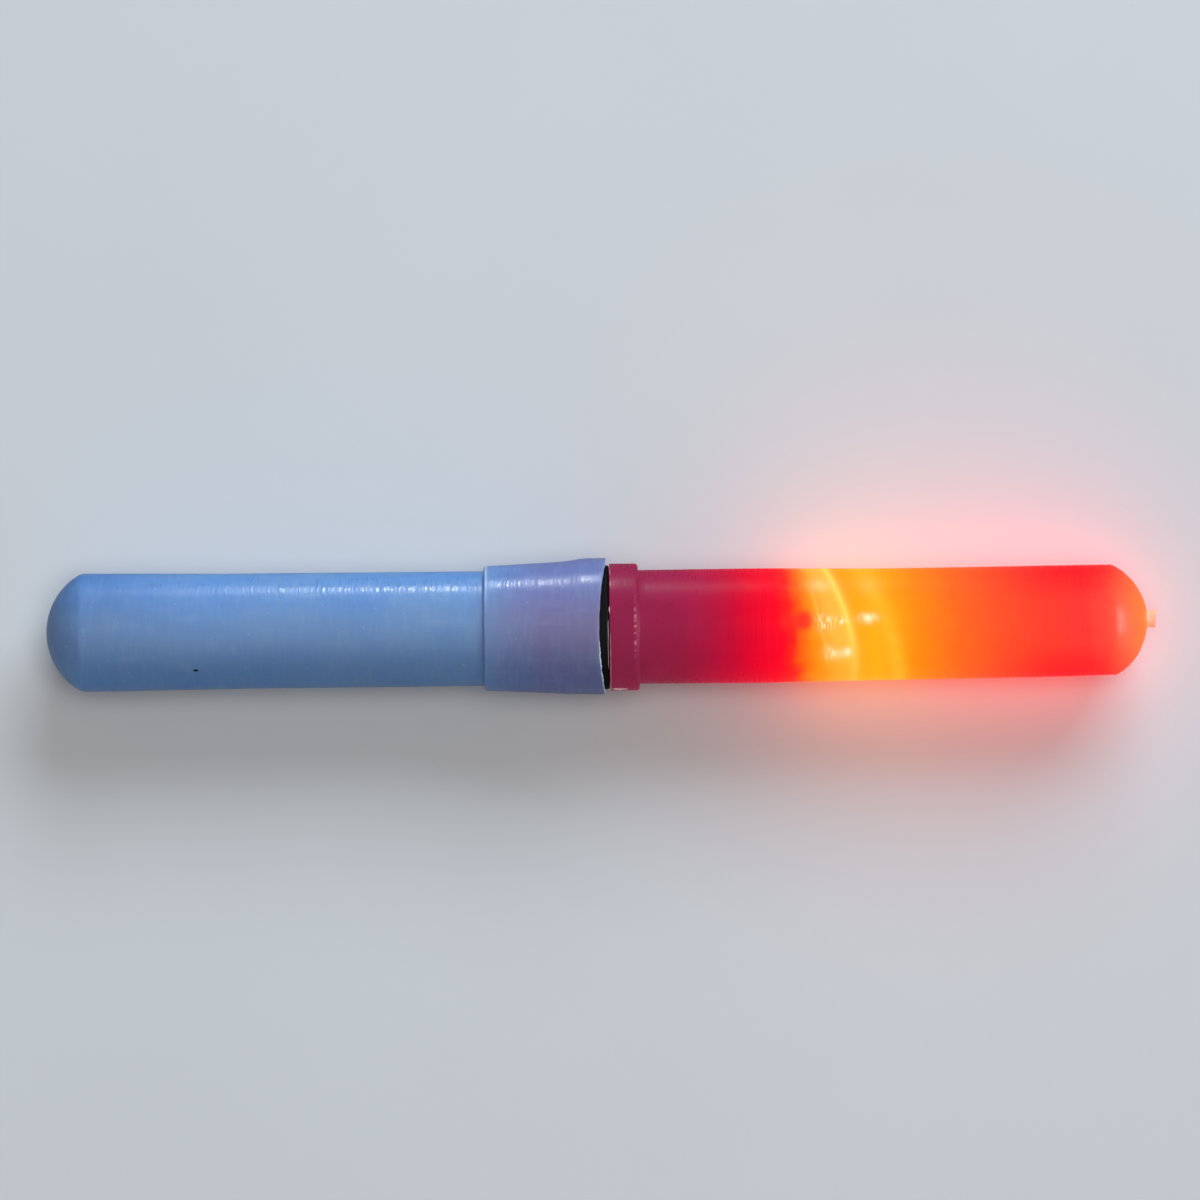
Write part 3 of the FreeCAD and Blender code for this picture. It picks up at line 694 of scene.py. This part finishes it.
def make_cap(plastic, torn_plastic):
    cap = lathe("red_cap", cap_outline(), "head", plastic, cap_warp, loop=True)
    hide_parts("lens_cap")
    stub = lathe("gate_stub", stub_outline(), "head", torn_plastic, stub_warp, segments=48, aside=0.12)
    fins = [
        flash("collar_flash_low", COLLAR + 0.06, COLLAR_R - 0.04, -75, -75, 0.17, (0, 1), "head",
              torn_plastic, 31, 0.12, along=0.75),
        flash("collar_flash_high", COLLAR + 0.02, COLLAR_R - 0.03, 24, 98, 0.05, (-0.6, 1), "head",
              torn_plastic, 34, 0.03),
        flash("collar_flash_face", COLLAR + 0.02, COLLAR_R - 0.03, -96, 8, 0.045, (-0.8, 1), "head",
              torn_plastic, 39, 0.02),
        flash("collar_burr", COLLAR + 0.01, COLLAR_R - 0.06, 12, 20, 0.13, (-1, 0.2), "head",
              torn_plastic, 37, 0.07),
    ]


# ------------------------------------------------------------------------------ ring and cell
def make_ring(material, line_material):
    """The rubber ring, with the parting line that its mould left, coloured pale as a painted highlight
    line.
    """
    x0, x1 = station(RING_LO.x), station(RING_HI.x)
    inner, outer = NECK_R + 0.03, RING_HI.y / MM
    outline = softened([(x0, inner, 0.14), (x0, outer, 0.14), (x1, outer, 0.16), (x1, inner, 0.14),
                        (x0, inner, 0.14), (x0, outer, 0.14)], steps=7)[1:-1]
    ring = lathe("rubber_ring", outline, "seal", material, loop=True)
    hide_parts("seal_ring")
    # the parting line's pale grey-green paints the highlight line along the ring's edge
    line = flash("ring_parting_line", x1 - 0.06, outer - 0.10, -50, 17, 0.19, (0, 1), "seal",
                 line_material, 41, 0.05, torn=0.15)


def make_cell(can_metal, pin_metal):
    """The can and pin at full roundness; the rest of the cell is the CAD's own."""
    x0, x1, r = station(CAN_LO.x), station(CAN_HI.x), CAN_HI.y / MM
    wall, mouth_r, bead = 0.13, 1.45, 22.95
    outline = [
        (x0, 0.0), (x0, r, 0.42), (bead - 0.42, r, 0.12), (bead, r - 0.15, 0.22), (bead + 0.42, r, 0.12),
        (x1, r, 0.30), (x1, mouth_r, 0.04), (x1 - wall, mouth_r, 0.04), (x1 - wall, r - wall, 0.05),
        (bead + 0.42, r - wall, 0.1), (bead, r - wall - 0.15, 0.2), (bead - 0.42, r - wall, 0.1),
        (x0 + wall, r - wall, 0.29), (x0 + wall, 0.0),
    ]
    can = lathe("can_shell", divided(softened(outline, steps=8), 0.5), "cell", can_metal, segments=128)
    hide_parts("cell_can")
    p0, p1, pin_r = station(PIN_LO.x), station(PIN_HI.x), PIN_HI.y / MM
    pin = lathe("contact_pin", softened([(p0, 0.0), (p0, pin_r), (p1, pin_r, 0.14), (p1, 0.0)], steps=8),
                "cell", pin_metal, segments=64)
    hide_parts("cell_pin")


# ------------------------------------------------------------------------------ CAD nodes
def dress_cad_nodes():
    """Node materials for the CAD pieces that are carried over as they are."""
    steel = metal("tinned_steel", (0.66, 0.67, 0.68, 1), (0.45, 0.45, 0.46, 1), 0.32)
    solder = metal("solder", (0.60, 0.61, 0.63, 1), (0.36, 0.37, 0.40, 1), 0.30, grain=9.0, depth=0.01)
    finishes = {
        "led_lens": plain_plastic("red_epoxy", (0.75, 0.05, 0.03, 1), (0.62, 0.03, 0.02, 1), 0.12,
                                  grain=2.0, depth=0.001, Transmission_Weight=0.35, IOR=1.53,
                                  Emission_Color=linear(255, 120, 50), Emission_Strength=1.2),
        "led_chip": plain_plastic("lit_die", (0.9, 0.5, 0.2, 1), (0.8, 0.3, 0.1, 1), 0.35, grain=20.0,
                                  Emission_Color=linear(255, 190, 110), Emission_Strength=4.0),
        "led_bond_wire": metal("gold_wire", (0.95, 0.72, 0.32, 1), (0.8, 0.55, 0.22, 1), 0.2, grain=20.0),
        "led_cathode_lead": steel,
        "led_anode_lead": steel,
        "led_glue": plain_plastic("clear_resin", (0.72, 0.62, 0.42, 1), (0.62, 0.5, 0.3, 1), 0.15,
                                  grain=3.0, depth=0.006, Transmission_Weight=0.3),
        "led_holder": plain_plastic("white_nylon", (0.76, 0.74, 0.68, 1), (0.66, 0.64, 0.57, 1), 0.45,
                                    Subsurface_Weight=0.25, Subsurface_Scale=0.5 * MM),
        "pin_socket": metal("turned_brass", (0.80, 0.58, 0.25, 1), (0.55, 0.38, 0.15, 1), 0.25, lines=14.0),
        "can_contact": metal("spring_bronze", (0.78, 0.52, 0.30, 1), (0.5, 0.32, 0.17, 1), 0.3),
        "solder_anode": solder,
        "solder_cathode": solder,
        "cell_gasket": plain_plastic("black_gasket", (0.02, 0.02, 0.022, 1), (0.035, 0.035, 0.036, 1), 0.5),
        "cell_lithium": plain_plastic("lithium_metal", (0.42, 0.42, 0.43, 1), (0.30, 0.30, 0.31, 1), 0.5,
                                      grain=3.0, Metallic=0.8),
        "cell_separator": plain_plastic("porous_film", (0.8, 0.8, 0.77, 1), (0.7, 0.7, 0.67, 1), 0.8,
                                        grain=16.0),
        "cell_cathode": plain_plastic("cathode_mix", (0.03, 0.03, 0.031, 1), (0.05, 0.05, 0.05, 1), 0.85,
                                      grain=12.0, depth=0.02),
    }
    for node, material in finishes.items():
        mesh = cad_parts[node].data
        mesh.materials.clear()
        mesh.materials.append(material)


# ------------------------------------------------------------------------------ stage
def make_floor():
    """A plain pale floor under the lowest point of the baton."""
    bm = bmesh.new()
    bmesh.ops.create_grid(bm, x_segments=2, y_segments=2, size=3.0)
    mesh = bpy.data.meshes.new("floor")
    bm.to_mesh(mesh)
    bm.free()
    floor = bpy.data.objects.new("floor", mesh)
    bpy.context.scene.collection.objects.link(floor)
    floor.location = (0, 0, CAD_BOX[0].z)
    s = Shader("pale_floor", (0.68, 0.68, 0.69, 1), 0.8, Specular_IOR_Level=0.0)
    s.set("Base Color", s.mix(s.noise(0.05, 3.0), (0.66, 0.66, 0.67, 1), (0.70, 0.70, 0.71, 1)))
    mesh.materials.append(s.material)
    floor.visible_glossy = False


def area_light(name, place, target, size, power, colour=(1, 1, 1), **visible):
    """A rectangular lamp aimed at a target and hidden from the camera."""
    light = bpy.data.lights.new(name, "AREA")
    light.shape = "RECTANGLE"
    light.size, light.size_y = size
    light.energy = power
    light.color = colour
    lamp = bpy.data.objects.new(name, light)
    bpy.context.scene.collection.objects.link(lamp)
    lamp.location = place
    lamp.rotation_euler = (Vector(target) - Vector(place)).to_track_quat("-Z", "Y").to_euler()
    lamp.visible_camera = False
    for key, value in visible.items():
        setattr(lamp, key, value)


def light_scene():
    """Soft studio light from above and from +Y, two highlight lamps and a pale surround."""
    middle = (CAD_BOX[0] + CAD_BOX[1]) / 2
    area_light("key", (0.16, 0.36, 0.26), middle, (0.35, 0.22), 1.95, (0.72, 0.87, 1.0),
               visible_glossy=False)
    area_light("top", (0.06, 0.02, 0.60), middle, (0.30, 0.30), 1.3, (1.0, 0.98, 0.95),
               visible_glossy=False)
    # two lamps that only make highlights: along the barrel and socket, and on the cap's dome and collar
    low = (0.0065, 0.075, 0.004)
    area_light("streak", low, (low[0], 0, 0), (0.010, 0.016), 0.025, (0.85, 0.92, 1.0),
               visible_diffuse=False)
    area_light("glint", (0.26, 0.0, 0.15), (0.03, 0, 0), (0.18, 0.18), 2.2, (1.0, 0.95, 0.92),
               visible_diffuse=False)
    world = bpy.data.worlds.new("studio")
    world.use_nodes = True
    world.node_tree.nodes["Background"].inputs[0].default_value = (0.80, 0.82, 0.85, 1)
    world.node_tree.nodes["Background"].inputs[1].default_value = 0.20
    bpy.context.scene.world = world


def aim_camera():
    """Looks straight down, with the baton a little below the middle and rising slightly."""
    frame_width, baton_below, baton_right, rise = 52.8 * MM, 1.20 * MM, 0.09 * MM, math.radians(0.62)
    distance = 0.50
    camera = bpy.data.cameras.new("camera")
    camera.sensor_width = 36.0
    camera.lens = camera.sensor_width * distance / frame_width
    camera.clip_start, camera.clip_end = 0.01, 10.0
    eye = bpy.data.objects.new("camera", camera)
    bpy.context.scene.collection.objects.link(eye)
    middle = (CAD_BOX[0] + CAD_BOX[1]) / 2
    up = Vector((math.sin(rise), math.cos(rise), 0))
    right = Vector((math.cos(rise), -math.sin(rise), 0))
    eye.location = Vector((middle.x, 0, distance)) + up * baton_below - right * baton_right
    eye.rotation_euler = (0, 0, -rise)
    bpy.context.scene.camera = eye


def main():
    milky = milky_plastic("milky_plastic")
    thin = plain_plastic("thin_flash", (0.88, 0.90, 0.95, 1), (0.70, 0.76, 0.88, 1), 0.4,
                         Subsurface_Weight=0.3, Subsurface_Scale=0.3 * MM)
    red = red_cap_plastic("red_cap_plastic")
    # the torn stub glows with painted light from the LED
    torn = plain_plastic("torn_red_painted_glow", (0.90, 0.56, 0.46, 1), (0.65, 0.16, 0.10, 1), 0.45, grain=12.0,
                         depth=0.020, Emission_Color=linear(255, 140, 90), Emission_Strength=0.75)
    flashed = plain_plastic("whitened_red", (0.85, 0.62, 0.64, 1), (0.62, 0.22, 0.28, 1), 0.45, grain=9.0)
    black = rubber("black_rubber")
    # the ring line's pale grey-green is a painted highlight
    grey_green = plain_plastic("ring_line_painted_highlight", (0.58, 0.66, 0.55, 1), (0.26, 0.30, 0.24, 1), 0.5, grain=9.0)
    make_tube(milky, thin)
    make_cap(red, torn)
    make_ring(black, grey_green)
    make_cell(metal("plated_can", (0.72, 0.71, 0.68, 1), (0.52, 0.50, 0.46, 1), 0.22, lines=9.0),
              metal("plated_pin", (0.82, 0.74, 0.58, 1), (0.6, 0.5, 0.36, 1), 0.2, lines=16.0))
    dress_cad_nodes()
    for name in ("collar_flash_low", "collar_flash_high", "collar_flash_face", "collar_burr"):
        bpy.data.objects[name].data.materials[0] = flashed
    make_floor()
    light_scene()
    aim_camera()
    bpy.context.scene.view_settings.view_transform = "Standard"


main()
